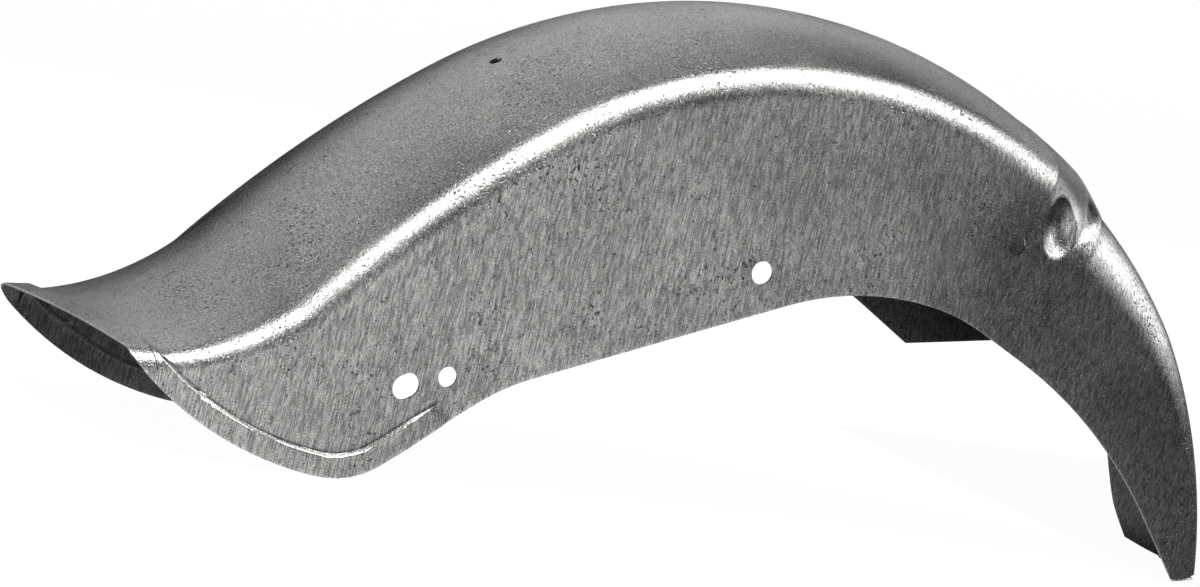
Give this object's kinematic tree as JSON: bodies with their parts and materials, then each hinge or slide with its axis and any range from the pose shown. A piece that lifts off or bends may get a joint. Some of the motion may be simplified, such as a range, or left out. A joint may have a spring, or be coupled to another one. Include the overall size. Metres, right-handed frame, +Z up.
{
  "type": "motorcycle rear fender",
  "caption": "Wide one-piece rear fender in raw sheet steel, with an arched crown, drawn-in front end, side walls and an upturned beaded tail.",
  "frame": {"origin": "under the middle of the fender's box, at the height of the surface it rests on", "axes": "+X towards the front tip, +Y towards the drive belt side (the machine's left), +Z up as it rests on its tail lip and front toe"},
  "size_m": [0.8566, 0.21, 0.3291],
  "materials": {
    "raw_steel": "satin"
  },
  "bodies": {
    "root": {"fender": "raw_steel"}
  },
  "joints": []
}
